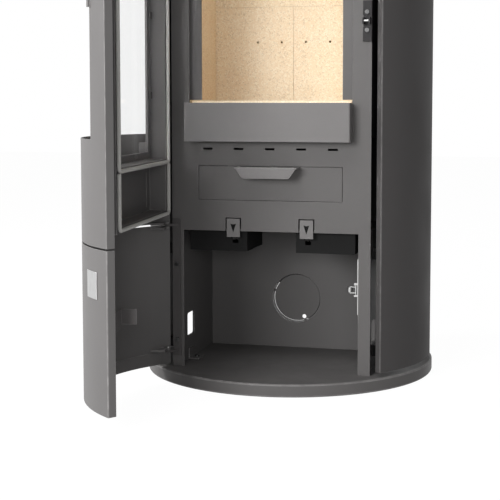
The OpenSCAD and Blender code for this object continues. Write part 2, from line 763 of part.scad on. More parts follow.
module door_grip() color(c_black) swing(upper_open) translate([0, 0, latch_lift]) {
  rotate([0, 0, grip_a - 90])
    box(body_r - grip_reach, body_r + grip_out, -grip_t / 2, grip_t / 2, grip_z, grip_z + grip_l);
  difference() {
    arc_wall(in_r - 0.8, 4, grip_a - 1, rod_a + 1.2, grip_z + bar_up, 12);
    pillar(latch_x, latch_y, grip_z, rod_r, grip_l);
  }
}

// Lower door
kick_h = 22;
kick_t = 2;
module lower_door_skin() color(c_plate) swing(lower_open) {
  door_shell(door_bottom, door_split);
  arc_wall(in_r + eps, kick_t, -door_half + 5, door_half - 6, door_bottom + root, kick_h);
  door_lug(low_arm_z + arm_t + lug_gap);
  door_lug(mid_arm_z - lug_gap - lug_t);
}
pull_from = 32.8;
pull_to = 41.4;
pull_z = 204;
pull_h = 42;
module finger_pull() color(c_steel) swing(lower_open)
  arc_wall(body_r + 1.5, 1.5, pull_from, pull_to, pull_z, pull_h);
strike_x = comp_half - 27;
module strike_plate() color(c_black) swing(lower_open) difference() {
  intersection() {
    pillar(0, 0, 0, in_r + eps, body_top);
    union() {
      box(strike_x, body_r, -plate_y - 11, -plate_y - 9, catch_z - 20, catch_z + 11);
      box(strike_x, strike_x + 2.5, -plate_y - 9, catch_y + 3, catch_z - 13, catch_z + 11);
    }
  }
  rotate([0, 0, door_half - 90]) box(0, 2 * body_r, -sheet, body_r, 0, body_top);
}

// Outer cladding
module side_panel_right() color(c_plate) {
  arc_wall(body_r, sheet, panel_start, panel_end, body_low, body_top - body_low);
  rotate([0, 0, panel_start - 90]) box(in_r - fold_w + 2, in_r + eps, 0, sheet, body_low, body_top);
}
module side_panel_left() color(c_plate)
  arc_wall(body_r, sheet, -panel_end, -panel_start, body_low, body_top - body_low);
vent_rows = 3;
cover_lap = 3;
vent_count = 9;
vent_top = 60;
vent_h = 30;
row_pitch = 50;
module rear_cover() color(c_black) difference() {
  arc_wall(in_r, sheet, panel_end - cover_lap, 360 - panel_end + cover_lap, rear_from, body_top - rear_from);
  for (row = [0 : vent_rows - 1]) for (i = [0 : vent_count - 1])
    rotate([0, 0, 90 + (i - (vent_count - 1) / 2) * 9]) box(in_r - 10, in_r + 5, -3, 3,
      body_top - vent_top - row * row_pitch, body_top - vent_top + vent_h - row * row_pitch);
}
stay_low = 14;
stay_high = 190;
stay_y = -100;
stay_l = 30;
module panel_brackets() color(c_black) {
  for (z = [body_low + stay_low, body_low + stay_high]) intersection() {
    pillar(0, 0, 0, in_r, body_top);
    both() union() {
      box(-body_r, -wall_out, stay_y, stay_y + stay_l, z, z + 3);
      box(-body_r, -wall_out, stay_y, stay_y + 3, z, z + 20);
    }
  }
  for (z = [shell_top - 40, shell_low + 60]) intersection() {
    pillar(0, 0, 0, in_r, body_top);
    both() box(-body_r, -shell_half - shell_t, -60, -30, z, z + 3);
  }
  intersection() {
    pillar(0, 0, 0, in_r - sheet, body_top);
    box(-30, 30, shell_back + shell_t, body_r, shell_top - 40, shell_top - 37);
  }
}

// Top
flue_t = 3;
hole_r = flue_r + 3;
module top_plate() color(c_plate) difference() {
  pillar(0, 0, body_top, body_r, top_t);
  pillar(0, 0, body_top - 1, hole_r, top_t + 2);
}
stone_edge = 2;
module top_stone() color(c_stone) translate([0, 0, body_top + top_t]) rotate_extrude()
  polygon([[hole_r, 0], [stone_r, 0], [stone_r, stone_t - stone_edge], [stone_r - stone_edge,
    stone_t], [hole_r, stone_t]]);
module flue_collar() color(c_black) difference() {
  union() {
    pillar(0, 0, shell_top, flue_r + 12, flue_t);
    pillar(0, 0, shell_top, flue_r, body_top + top_t + stone_t + flue_up - shell_top);
  }
  pillar(0, 0, shell_top - 1, flue_r - flue_t, body_top);
}

// Screws
module screw_y(x, y, z) translate([x, y, z]) rotate([90, 0, 0]) difference() {
  cylinder(r = screw_r, h = screw_h);
  translate([0, 0, 1]) cylinder(r = screw_r / 2, h = screw_h, $fn = 6);
}
module screw_z(x, y, z) translate([x, y, z]) difference() {
  cylinder(r = screw_r, h = screw_h);
  translate([0, 0, 1]) cylinder(r = screw_r / 2, h = screw_h, $fn = 6);
}
module body_screws() color(c_steel) {
  for (s = [-1, 1]) screw_z(s * (room_half - bracket_w / 2 - 1), bracket_y, base_t + bracket_t);
  for (z = [low_arm_z + 22, mid_arm_z - 70]) screw_y(strip_x + 8, -plate_y - strip_t, z);
  for (z = [top_arm_z - 30, top_arm_z - 14]) screw_y(strip_x + 8, -plate_y - strip_t, z);
  for (z = [pin_z - keep_screw, pin_z + keep_screw]) screw_y(latch_x, -plate_y - keep_end_t, z);
}

base_plate();
floor_brackets();
left_inner_wall();
right_inner_wall();
rear_inner_wall();
ceiling_plate();
air_spigot();
inlet_blank();
front_plate();
ash_housing();
firebox_shell();
brick_left();
brick_right();
brick_back_left();
brick_back_right();
brick_back_upper();
brick_front();
brick_floor_left();
brick_floor_right();
brick_floor_mid();
grate();
baffle_brick();
brick_keeper_left();
brick_keeper_right();
air_box_left();
air_box_right();
latch_keeper();
keeper_pin();
catch_strip();
catch_arm();
catch_roller();
hinge_strip_lower();
hinge_strip_upper();
hinge_pins();
side_panel_left();
side_panel_right();
rear_cover();
panel_brackets();
top_plate();
top_stone();
flue_collar();
body_screws();
ash_drawer();
drawer_handle();
log_guard();
air_tab_left();
air_tab_right();
upper_door_skin();
upper_door_frame();
door_glass();
glass_clips();
seal_upper();
seal_lower();
latch_guides();
latch_rod();
door_grip();
lower_door_skin();
finger_pull();
strike_plate();
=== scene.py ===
# %% [markdown]
# # A round wood-burning stove with its doors open
# The stove is folded sheet steel painted in a dark warm grey, with pale insulating bricks in its firebox.
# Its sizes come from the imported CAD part, which is loaded first and never changed here. Blender gives
# each part its rounded edges, its braided seals, its small fasteners and its finish.

# %% Load the CAD frame
import json
from math import atan2, cos, pi, radians, sin

import bmesh
import bpy
from mathutils import Matrix, Vector


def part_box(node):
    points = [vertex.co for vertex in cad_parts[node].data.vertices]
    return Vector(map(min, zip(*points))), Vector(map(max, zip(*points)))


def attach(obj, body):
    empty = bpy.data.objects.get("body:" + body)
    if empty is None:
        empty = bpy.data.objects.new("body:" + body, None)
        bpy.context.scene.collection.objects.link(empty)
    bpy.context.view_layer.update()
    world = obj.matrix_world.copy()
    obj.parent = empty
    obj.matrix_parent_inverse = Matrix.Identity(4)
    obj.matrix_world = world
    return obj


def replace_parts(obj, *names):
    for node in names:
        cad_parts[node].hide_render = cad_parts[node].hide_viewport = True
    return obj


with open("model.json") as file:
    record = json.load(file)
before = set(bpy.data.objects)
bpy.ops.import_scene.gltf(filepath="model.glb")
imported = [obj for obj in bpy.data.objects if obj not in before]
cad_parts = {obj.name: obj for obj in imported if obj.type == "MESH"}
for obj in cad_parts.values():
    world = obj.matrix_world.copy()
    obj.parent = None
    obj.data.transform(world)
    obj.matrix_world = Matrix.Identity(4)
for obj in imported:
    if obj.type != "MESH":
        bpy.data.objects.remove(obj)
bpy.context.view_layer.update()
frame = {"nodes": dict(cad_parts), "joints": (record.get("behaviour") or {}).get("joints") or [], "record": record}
nodes = frame["nodes"]
body_of_node = {n: b for b, names in frame["record"]["behaviour"]["bodies"].items() for n in names}
MM = 0.001

# %% [markdown]
# ## Camera
# The picture was taken with a long lens from the front right, a little above the firebox floor, and its
# frame was cut from a larger one. A small shift of the lens gives that cut without turning the camera,
# so the stove's upright edges keep the slight lean that they have in the picture.

# %% Camera
picture_px = 500
focal_px = 1220
axis_x_px, axis_y_px = 265, 200
sensor_mm = 36.0
camera_data = bpy.data.cameras.new("photo_camera")
camera_data.sensor_width = sensor_mm
camera_data.lens = sensor_mm * focal_px / picture_px
camera_data.shift_x = (picture_px / 2 - axis_x_px) / picture_px
camera_data.shift_y = (axis_y_px - picture_px / 2) / picture_px
camera_data.clip_end = 60
camera = bpy.data.objects.new("photo_camera", camera_data)
bpy.context.scene.collection.objects.link(camera)
camera.location = (0.5230, -2.2581, 0.5047)
camera.rotation_euler = (radians(90 - 4.63), 0, radians(14.24))
bpy.context.scene.camera = camera
bpy.context.scene.view_settings.view_transform = "Standard"
print("lens", round(camera_data.lens, 1), "mm, shift", camera_data.shift_x, camera_data.shift_y)

# %% [markdown]
# ## Floor, lamps and surroundings
# The stove stands in a plain white studio. A white world and a pale floor give the background. Light
# Path lets the camera, the glossy rays and the rays through glass see clean white, while the light that
# falls on the stove stays at a plain level. The main lamp is wide and stands to the front left, so the open
# door shades the left of the front plate and the right-hand cladding falls off into the dark. A lamp high
# on the left brightens the doors' outsides, one above lights the plinth's top, and a weak one beside the
# camera opens up the firebox and the compartment. The picture doesn't show its lamps, so these are guesses
# that were set together with the paints.


# %% Helper for clean white
def seen_directly(tree):
    """A socket that is 1 for camera rays, rays through glass and glossy rays, and 0 for the rest."""
    ray = tree.nodes.new("ShaderNodeLightPath")
    total = ray.outputs["Is Camera Ray"]
    for kind in ("Is Transmission Ray", "Is Glossy Ray"):
        either = tree.nodes.new("ShaderNodeMath")
        either.operation = "MAXIMUM"
        tree.links.new(total, either.inputs[0])
        tree.links.new(ray.outputs[kind], either.inputs[1])
        total = either.outputs[0]
    return total


print("white helper ready")

# %% Floor
floor_half = 9
floor_white_share = 0.92
stage_mesh = bpy.data.meshes.new("studio_floor")
bm = bmesh.new()
bmesh.ops.create_grid(bm, x_segments=1, y_segments=1, size=floor_half)
bm.to_mesh(stage_mesh)
bm.free()
studio_floor = bpy.data.objects.new("studio_floor", stage_mesh)
bpy.context.scene.collection.objects.link(studio_floor)
studio_floor.location.z = -0.5 * MM

floor_finish = bpy.data.materials.new("studio_white")
floor_finish.use_nodes = True
tree = floor_finish.node_tree
tree.nodes.clear()
floor_out = tree.nodes.new("ShaderNodeOutputMaterial")
floor_mix = tree.nodes.new("ShaderNodeMixShader")
floor_matt = tree.nodes.new("ShaderNodeBsdfDiffuse")
floor_matt.inputs["Color"].default_value = (0.62, 0.62, 0.62, 1)
floor_glow = tree.nodes.new("ShaderNodeEmission")
floor_glow.inputs["Color"].default_value = (1, 1, 1, 1)
floor_glow.inputs["Strength"].default_value = 1.06
floor_share = tree.nodes.new("ShaderNodeMath")
floor_share.operation = "MULTIPLY"
floor_share.inputs[1].default_value = floor_white_share
tree.links.new(seen_directly(tree), floor_share.inputs[0])
tree.links.new(floor_share.outputs[0], floor_mix.inputs[0])
tree.links.new(floor_matt.outputs[0], floor_mix.inputs[1])
tree.links.new(floor_glow.outputs[0], floor_mix.inputs[2])
tree.links.new(floor_mix.outputs[0], floor_out.inputs["Surface"])
stage_mesh.materials.append(floor_finish)
print("floor", stage_mesh.vertices[0].co[:], "to", stage_mesh.vertices[-1].co[:])

# %% World
world = bpy.data.worlds.new("studio_world")
bpy.context.scene.world = world
world.use_nodes = True
tree = world.node_tree
tree.nodes.clear()
world_out = tree.nodes.new("ShaderNodeOutputWorld")
world_light = tree.nodes.new("ShaderNodeBackground")
world_light.inputs["Color"].default_value = (1.0, 0.99, 0.98, 1)
world_light.inputs["Strength"].default_value = 0.2
world_seen = tree.nodes.new("ShaderNodeBackground")
world_seen.inputs["Color"].default_value = (1, 1, 1, 1)
world_seen.inputs["Strength"].default_value = 1.0
world_mix = tree.nodes.new("ShaderNodeMixShader")
tree.links.new(seen_directly(tree), world_mix.inputs[0])
tree.links.new(world_light.outputs[0], world_mix.inputs[1])
tree.links.new(world_seen.outputs[0], world_mix.inputs[2])
tree.links.new(world_mix.outputs[0], world_out.inputs["Surface"])
print("world strength", world_light.inputs["Strength"].default_value)


# %% Lamps
def soft_lamp(name, place, aim, width, height, watts):
    """A wide rectangular lamp at place that shines towards aim."""
    lamp = bpy.data.lights.new(name, "AREA")
    lamp.shape = "RECTANGLE"
    lamp.size = width
    lamp.size_y = height
    lamp.energy = watts
    holder = bpy.data.objects.new(name, lamp)
    bpy.context.scene.collection.objects.link(holder)
    holder.location = place
    holder.rotation_euler = (Vector(aim) - Vector(place)).to_track_quat("-Z", "Y").to_euler()
    print(name, watts, "W from", place)


soft_lamp("lamp_front_left", (-1.05, -4.0, 1.25), (0.1, -0.15, 0.45), 1.6, 1.4, 140)
soft_lamp("lamp_high_left", (-2.4, -0.7, 1.7), (-0.4, -0.35, 0.8), 0.7, 1.2, 72)
soft_lamp("lamp_above", (-0.4, -1.7, 3.0), (0, -0.2, 0.2), 1.0, 1.0, 30)
soft_lamp("lamp_camera_side", (0.9, -3.2, 0.75), (0, 0, 0.3), 0.6, 0.6, 20)

# %% [markdown]
# ## Shared shader groups
# Painted, bare and mineral surfaces have a few effects in common, so each effect is one node group with
# named sockets. A group only mixes colours, masks and heights. Each material has its own shader node
# and sets its plain numbers there.


# %% Helpers for node trees
def add(tree, kind, **values):
    """Adds a node. A value with a capital is an input (From_Min is From Min), any other is a setting."""
    node = tree.nodes.new(kind)
    for key, value in values.items():
        if key[0].isupper():
            node.inputs[key.replace("_", " ")].default_value = value
        else:
            setattr(node, key, value)
    return node


def blend(tree, amount, first, second):
    """Mixes two colours; amount, first and second are sockets or values. Gives the result's socket."""
    node = tree.nodes.new("ShaderNodeMix")
    node.data_type = "RGBA"
    for place, value in ((0, amount), (6, first), (7, second)):
        if isinstance(value, bpy.types.NodeSocket):
            tree.links.new(value, node.inputs[place])
        else:
            node.inputs[place].default_value = value if place == 0 else (*value, 1)
    return node.outputs[2]


def level(tree, value, low, high, to_low=0.0, to_high=1.0):
    """Stretches a value from low..high to to_low..to_high, and holds it there."""
    node = add(tree, "ShaderNodeMapRange", From_Min=low, From_Max=high, To_Min=to_low, To_Max=to_high)
    tree.links.new(value, node.inputs["Value"])
    return node.outputs["Result"]


def calc(tree, how, first, second):
    """One Math node; first and second are sockets or numbers."""
    node = add(tree, "ShaderNodeMath", operation=how)
    for place, value in enumerate((first, second)):
        if isinstance(value, bpy.types.NodeSocket):
            tree.links.new(value, node.inputs[place])
        else:
            node.inputs[place].default_value = value
    return node.outputs[0]


def noise(tree, size, detail=3.0, rough=0.55, stretch=None, where=None):
    """Noise on object coordinates whose grains are about size metres; stretch scales its three axes."""
    spot = where if where is not None else add(tree, "ShaderNodeTexCoord").outputs["Object"]
    if stretch is not None:
        turn = add(tree, "ShaderNodeMapping", Scale=stretch)
        tree.links.new(spot, turn.inputs["Vector"])
        spot = turn.outputs["Vector"]
    node = add(tree, "ShaderNodeTexNoise", Detail=detail, Roughness=rough, Scale=1 / size)
    tree.links.new(spot, node.inputs["Vector"])
    return node.outputs["Fac"]


COLOUR, NUMBER = "NodeSocketColor", "NodeSocketFloat"


def make_group(name, inputs, outputs):
    """An empty node group with named sockets. Gives the group, its inputs and its outputs."""
    group = bpy.data.node_groups.new(name, "ShaderNodeTree")
    for title, kind, value in inputs:
        socket = group.interface.new_socket(title, in_out="INPUT", socket_type=kind)
        socket.default_value = (*value, 1) if kind == COLOUR else value
    for title, kind in outputs:
        group.interface.new_socket(title, in_out="OUTPUT", socket_type=kind)
    return group, group.nodes.new("NodeGroupInput").outputs, group.nodes.new("NodeGroupOutput").inputs


def use(tree, group, **values):
    """Places a group in a material. Values are sockets, colours or numbers for its inputs."""
    node = tree.nodes.new("ShaderNodeGroup")
    node.node_tree = group
    for key, value in values.items():
        socket = node.inputs[key.replace("_", " ")]
        if isinstance(value, bpy.types.NodeSocket):
            tree.links.new(value, socket)
        else:
            socket.default_value = (*value, 1) if socket.type == "RGBA" else value
    return node.outputs


print("node helpers ready")

# %% [markdown]
# Heat-proof paint is sprayed matt. Close up it has a fine grain, and from a step away its tone drifts a
# little where the film is thicker. One noise of about a millimetre gives the grain and one of a hand's
# width the drift. The same group serves the cast iron, the seal rope and the printed marks, with other
# grain sizes.

# %% Group for grain
grain, into, out = make_group(
    "Fine grain",
    [("Colour", COLOUR, (0.1, 0.1, 0.1)), ("Light", COLOUR, (0.2, 0.2, 0.2)), ("Drift", NUMBER, 0.25),
     ("Speckle", NUMBER, 0.15), ("Grain size", NUMBER, 1.0)],
    [("Colour", COLOUR), ("Height", NUMBER), ("Patches", NUMBER)])
spot = add(grain, "ShaderNodeTexCoord").outputs["Object"]
scaled = add(grain, "ShaderNodeVectorMath", operation="DIVIDE")
grain.links.new(spot, scaled.inputs[0])
grain.links.new(into["Grain size"], scaled.inputs[1])
fine = noise(grain, 0.0009, 2, where=scaled.outputs[0])
wide = noise(grain, 0.11, 3)
drifted = blend(grain, calc(grain, "MULTIPLY", level(grain, wide, 0.3, 0.7), into["Drift"]),
                into["Colour"], into["Light"])
spotted = blend(grain, calc(grain, "MULTIPLY", level(grain, fine, 0.45, 0.75), into["Speckle"]),
                drifted, into["Light"])
grain.links.new(spotted, out["Colour"])
grain.links.new(fine, out["Height"])
grain.links.new(level(grain, wide, 0.3, 0.7), out["Patches"])
print(grain.name, "has", len(grain.nodes), "nodes")

# %% [markdown]
# Edges of folded sheets catch the light, because the paint is thinner there and is rubbed by hands. The
# bevelled faces of each piece carry an attribute named worn, so the group can find them, and a coarse
# noise breaks the line up. On the seen folds of the right cladding and of the doors the same lighter colour
# stands for the light that the rounded fold catches, so there it is a painted highlight.

# %% Group for rubbed edges
edges, into, out = make_group(
    "Rubbed edges and fold highlights",
    [("Colour", COLOUR, (0.1, 0.1, 0.1)), ("Edge colour", COLOUR, (0.3, 0.3, 0.3)), ("Amount", NUMBER, 0.5)],
    [("Colour", COLOUR)])
worn = add(edges, "ShaderNodeAttribute", attribute_name="worn").outputs["Fac"]
broken = level(edges, noise(edges, 0.02, 4), 0.38, 0.62, 0.45, 1.0)
mask = calc(edges, "MULTIPLY", calc(edges, "MULTIPLY", worn, broken), into["Amount"])
edges.links.new(blend(edges, mask, into["Colour"], into["Edge colour"]), out["Colour"])
print(edges.name, "has", len(edges.nodes), "nodes")

# %% [markdown]
# A little pale dust settles on faces that look up, such as the plinth and the log guard's edge. The
# normal's upward part makes the mask, and noise makes it patchy.

# %% Group for settled dust
dust, into, out = make_group(
    "Settled dust",
    [("Colour", COLOUR, (0.1, 0.1, 0.1)), ("Dust", COLOUR, (0.4, 0.38, 0.36)), ("Amount", NUMBER, 0.1)],
    [("Colour", COLOUR)])
facing = add(dust, "ShaderNodeSeparateXYZ")
dust.links.new(add(dust, "ShaderNodeNewGeometry").outputs["Normal"], facing.inputs[0])
upward = level(dust, facing.outputs["Z"], 0.55, 1.0)
patchy = level(dust, noise(dust, 0.035, 5, 0.65), 0.35, 0.7, 0.25, 1.0)
mask = calc(dust, "MULTIPLY", calc(dust, "MULTIPLY", upward, patchy), into["Amount"])
dust.links.new(blend(dust, mask, into["Colour"], into["Dust"]), out["Colour"])
print(dust.name, "has", len(dust.nodes), "nodes")

# %% [markdown]
# Insulating brick is pressed from flakes of expanded mica, and soapstone is a soft flecked rock. Both
# show small cells of lighter and darker mineral. A Voronoi texture gives each cell its own tone, and
# the cell's distance gives its relief.

# %% Group for mineral flecks
flecks, into, out = make_group(
    "Mineral flecks",
    [("Colour", COLOUR, (0.7, 0.6, 0.4)), ("Pale", COLOUR, (0.9, 0.8, 0.6)),
     ("Dark", COLOUR, (0.4, 0.3, 0.2)),
     ("Pale share", NUMBER, 0.4), ("Dark share", NUMBER, 0.3), ("Fleck size", NUMBER, 1.0)],
    [("Colour", COLOUR), ("Height", NUMBER)])
spot = add(flecks, "ShaderNodeTexCoord").outputs["Object"]
scaled = add(flecks, "ShaderNodeVectorMath", operation="DIVIDE")
flecks.links.new(spot, scaled.inputs[0])
flecks.links.new(into["Fleck size"], scaled.inputs[1])
cells = add(flecks, "ShaderNodeTexVoronoi", Scale=520.0, Randomness=1.0)
flecks.links.new(scaled.outputs[0], cells.inputs["Vector"])
tone = add(flecks, "ShaderNodeSeparateColor")
flecks.links.new(cells.outputs["Color"], tone.inputs[0])
pale = calc(flecks, "MULTIPLY", level(flecks, tone.outputs[0], 0.6, 0.8), into["Pale share"])
dark = calc(flecks, "MULTIPLY", level(flecks, tone.outputs[1], 0.86, 0.93), into["Dark share"])
mixed = blend(flecks, dark, blend(flecks, pale, into["Colour"], into["Pale"]), into["Dark"])
flecks.links.new(mixed, out["Colour"])
flecks.links.new(calc(flecks, "ADD", cells.outputs["Distance"], noise(flecks, 0.0012, 3)), out["Height"])
print(flecks.name, "has", len(flecks.nodes), "nodes")

# %% [markdown]
# The screws, the pins, the catch, the inlet's spigot and the finger pull are bare, blackened or plated
# steel with fine lines from drawing or grinding. Noise that is stretched about thirty times along one
# direction gives such lines, in colour, in roughness and in relief.

# %% Group for brushed lines
brushed, into, out = make_group(
    "Brushed lines",
    [("Colour", COLOUR, (0.6, 0.6, 0.6)), ("Dark", COLOUR, (0.3, 0.3, 0.3)), ("Amount", NUMBER, 0.4)],
    [("Colour", COLOUR), ("Height", NUMBER)])
lines = noise(brushed, 0.0008, 3, stretch=(1, 1, 0.03))
smears = noise(brushed, 0.012, 4)
shade = calc(brushed, "MULTIPLY", calc(brushed, "ADD", level(brushed, lines, 0.35, 0.65, 0, 0.6),
                                       level(brushed, smears, 0.4, 0.7, 0, 0.4)), into["Amount"])
brushed.links.new(blend(brushed, shade, into["Colour"], into["Dark"]), out["Colour"])
brushed.links.new(lines, out["Height"])
print(brushed.name, "has", len(brushed.nodes), "nodes")

# %% [markdown]
# ## Finishes
# Each finish is one material with its own Principled shader. The numbers that are the same all over,
# such as the metal's reflectance, are set on the shader. Colour, roughness and relief come from the
# groups. The real stove probably has one or two paints. The nine tones here were fitted to the picture
# together with the lamps, so they also take up what the lamps get wrong: the lighter guard, door and
# compartment paints paint in light, the darker side paint and the near-black air-box paint paint in shade,
# and the low Specular IOR Level keeps the white room out of the paint.


# %% Helper for a material
def finish(name, **values):
    """A material with one Principled shader. Gives the material, its tree and the shader's inputs."""
    material = bpy.data.materials.new(name)
    material.use_nodes = True
    shader = material.node_tree.nodes["Principled BSDF"]
    for key, value in values.items():
        shader.inputs[key.replace("_", " ")].default_value = value
    return material, material.node_tree, shader.inputs


def relief(tree, shader, height, depth, strength=1.0):
    """Bumps the surface by a height socket, depth in metres."""
    bump = add(tree, "ShaderNodeBump", Strength=strength, Distance=depth)
    tree.links.new(height, bump.inputs["Height"])
    tree.links.new(bump.outputs["Normal"], shader["Normal"])


# %% Painted sheet
def heat_paint(name, colour, light, rough, wear=0.5, powder=0.12):
    """Sprayed heat-proof paint: grain, drift, rubbed edges (a painted highlight on marked folds) and dust."""
    # The rubbed-edge colour is also used as a painted highlight on the marked folds.
    rubbed_and_highlight_colour = tuple(2.1 * c for c in light)
    material, tree, shader = finish(name, Specular_IOR_Level=0.12)
    film = use(tree, grain, Colour=colour, Light=light, Drift=0.25, Speckle=0.22, Grain_size=1.0)
    rubbed = use(tree, edges, Colour=film["Colour"], Edge_colour=rubbed_and_highlight_colour, Amount=wear)
    dusty = use(tree, dust, Colour=rubbed["Colour"], Dust=(0.34, 0.33, 0.32), Amount=powder)
    tree.links.new(dusty["Colour"], shader["Base Color"])
    tree.links.new(level(tree, film["Patches"], 0, 1, rough - 0.05, rough + 0.07), shader["Roughness"])
    relief(tree, shader, film["Height"], 0.00006, 0.55)
    return material


grey_paint = heat_paint("grey_heat_paint", (0.092, 0.088, 0.087), (0.120, 0.116, 0.115), 0.46)
# The guard paint is a lighter copy of the grey paint: painted light on the guard, the drawer handle and the tabs.
lit_guard_paint = heat_paint("guard_heat_paint_with_painted_light", (0.128, 0.123, 0.122), (0.165, 0.159, 0.158), 0.44)
# The door paint is a lighter copy of the grey paint: painted light on the door skins.
lit_door_paint = heat_paint("door_heat_paint_with_painted_light", (0.110, 0.106, 0.105), (0.146, 0.141, 0.140), 0.42)
# The side paint is a darker copy of the grey paint: painted shade on the cladding.
shaded_side_paint = heat_paint("side_heat_paint_with_painted_shade", (0.056, 0.053, 0.053), (0.078, 0.075, 0.074), 0.62)
# The compartment paint is a lighter copy of the grey paint: painted light in the shaded compartment.
lit_compartment_paint = heat_paint("compartment_heat_paint_with_painted_light", (0.105, 0.101, 0.100), (0.140, 0.135, 0.134), 0.5)
dark_paint = heat_paint("dark_heat_paint", (0.062, 0.058, 0.058), (0.092, 0.087, 0.086), 0.5)
frame_paint = heat_paint("door_frame_paint", (0.085, 0.081, 0.081), (0.125, 0.120, 0.119), 0.5, wear=0.7)
black_paint = heat_paint("black_heat_paint", (0.022, 0.021, 0.022), (0.04, 0.038, 0.038), 0.55)
# Darker than the black paint: painted shade on the air boxes.
shade_black_paint = heat_paint("black_paint_with_painted_shade", (0.006, 0.006, 0.006), (0.012, 0.0115, 0.0115), 0.7, wear=0.15,
                        powder=0.02)
print("nine paints")

# %% Insulating brick
fire_brick, tree, shader = finish("pressed_fire_brick", Specular_IOR_Level=0.25)
flecked = use(tree, flecks, Colour=(0.84, 0.67, 0.46), Pale=(0.95, 0.85, 0.68), Dark=(0.50, 0.37, 0.22),
              Pale_share=0.7, Dark_share=0.45, Fleck_size=1.0)
cloudy = blend(tree, level(tree, noise(tree, 0.05, 5, 0.6), 0.3, 0.75, 0, 0.35), flecked["Colour"],
               (0.93, 0.82, 0.65))
chipped = use(tree, edges, Colour=cloudy, Edge_colour=(0.50, 0.38, 0.25), Amount=0.55)
tree.links.new(chipped["Colour"], shader["Base Color"])
tree.links.new(level(tree, noise(tree, 0.004, 3), 0.3, 0.7, 0.78, 0.95), shader["Roughness"])
relief(tree, shader, flecked["Height"], 0.0005, 0.5)
print(fire_brick.name)

# %% Soapstone
soapstone, tree, shader = finish("honed_soapstone", Specular_IOR_Level=0.4)
flecked = use(tree, flecks, Colour=(0.16, 0.175, 0.17), Pale=(0.27, 0.285, 0.275), Dark=(0.08, 0.09, 0.09),
              Pale_share=0.5, Dark_share=0.6, Fleck_size=2.2)
veins = noise(tree, 0.09, 8, 0.7, stretch=(1, 2.6, 1))
veined = blend(tree, level(tree, veins, 0.48, 0.53, 0, 0.55), flecked["Colour"], (0.30, 0.32, 0.31))
seamed = blend(tree, level(tree, veins, 0.56, 0.6, 0, 0.5), veined, (0.11, 0.125, 0.12))
rubbed = use(tree, edges, Colour=seamed, Edge_colour=(0.36, 0.37, 0.36), Amount=0.5)
tree.links.new(rubbed["Colour"], shader["Base Color"])
tree.links.new(level(tree, noise(tree, 0.03, 4), 0.3, 0.7, 0.38, 0.6), shader["Roughness"])
relief(tree, shader, flecked["Height"], 0.0002, 0.4)
print(soapstone.name)


# %% Bare metals
def bare_metal(name, colour, dark, rough, amount=0.5):
    """Plated or bare steel with brushed lines."""
    material, tree, shader = finish(name, Metallic=1.0)
    ground = use(tree, brushed, Colour=colour, Dark=dark, Amount=amount)
    rubbed = use(tree, edges, Colour=ground["Colour"], Edge_colour=(0.85, 0.85, 0.84), Amount=0.4)
    tree.links.new(rubbed["Colour"], shader["Base Color"])
    tree.links.new(level(tree, ground["Height"], 0.3, 0.7, rough - 0.06, rough + 0.1), shader["Roughness"])
    relief(tree, shader, ground["Height"], 0.00003, 0.5)
    return material


zinc = bare_metal("zinc_plated_steel", (0.36, 0.36, 0.355), (0.2, 0.2, 0.2), 0.38)
ground_steel = bare_metal("ground_steel_pull", (0.56, 0.56, 0.56), (0.4, 0.4, 0.4), 0.38, 0.6)
dark_screw = bare_metal("blackened_screw_steel", (0.07, 0.07, 0.07), (0.03, 0.03, 0.03), 0.4)
print("three bare metals")

# %% Cast iron
cast_iron, tree, shader = finish("cast_grate_iron", Specular_IOR_Level=0.5)
film = use(tree, grain, Colour=(0.035, 0.034, 0.034), Light=(0.075, 0.07, 0.068), Drift=0.6, Speckle=0.5,
           Grain_size=2.4)
dusty = use(tree, dust, Colour=film["Colour"], Dust=(0.32, 0.31, 0.30), Amount=0.35)
tree.links.new(dusty["Colour"], shader["Base Color"])
tree.links.new(level(tree, film["Patches"], 0, 1, 0.55, 0.75), shader["Roughness"])
relief(tree, shader, film["Height"], 0.0004, 0.7)
print(cast_iron.name)

# %% Seal rope
seal_rope, tree, shader = finish("braided_glass_fibre", Specular_IOR_Level=0.3)
film = use(tree, grain, Colour=(0.30, 0.295, 0.285), Light=(0.52, 0.51, 0.49), Drift=0.5, Speckle=0.8,
           Grain_size=0.55)
tree.links.new(film["Colour"], shader["Base Color"])
tree.links.new(level(tree, film["Patches"], 0, 1, 0.75, 0.92), shader["Roughness"])
relief(tree, shader, film["Height"], 0.0003, 0.8)
print(seal_rope.name)

# %% [markdown]
# The glass is clear. Real stove glass has an IOR of about 1.5, which mirrors more of the room at the steep
# angle of the open door. Here 1.08 and a nearly white colour were chosen instead, to bring the window near
# the picture's white.

# %% Glass
clear_glass, tree, shader = finish("clear_stove_glass", Transmission_Weight=1.0, IOR=1.08, Metallic=0.0)
haze = noise(tree, 0.06, 5, 0.6)
tree.links.new(blend(tree, level(tree, haze, 0.3, 0.8, 0, 0.4), (1.0, 1.0, 1.0), (0.96, 0.975, 0.97)),
               shader["Base Color"])
tree.links.new(level(tree, haze, 0.45, 0.8, 0.0, 0.02), shader["Roughness"])
print(clear_glass.name)

# %% Printed mark
mark_ink, tree, shader = finish("printed_black_mark", Specular_IOR_Level=0.05)
film = use(tree, grain, Colour=(0.003, 0.003, 0.003), Light=(0.008, 0.008, 0.008), Drift=0.5, Speckle=0.4,
           Grain_size=0.8)
tree.links.new(film["Colour"], shader["Base Color"])
tree.links.new(level(tree, film["Patches"], 0, 1, 0.5, 0.65), shader["Roughness"])
relief(tree, shader, film["Height"], 0.00002, 0.4)
print(mark_ink.name)

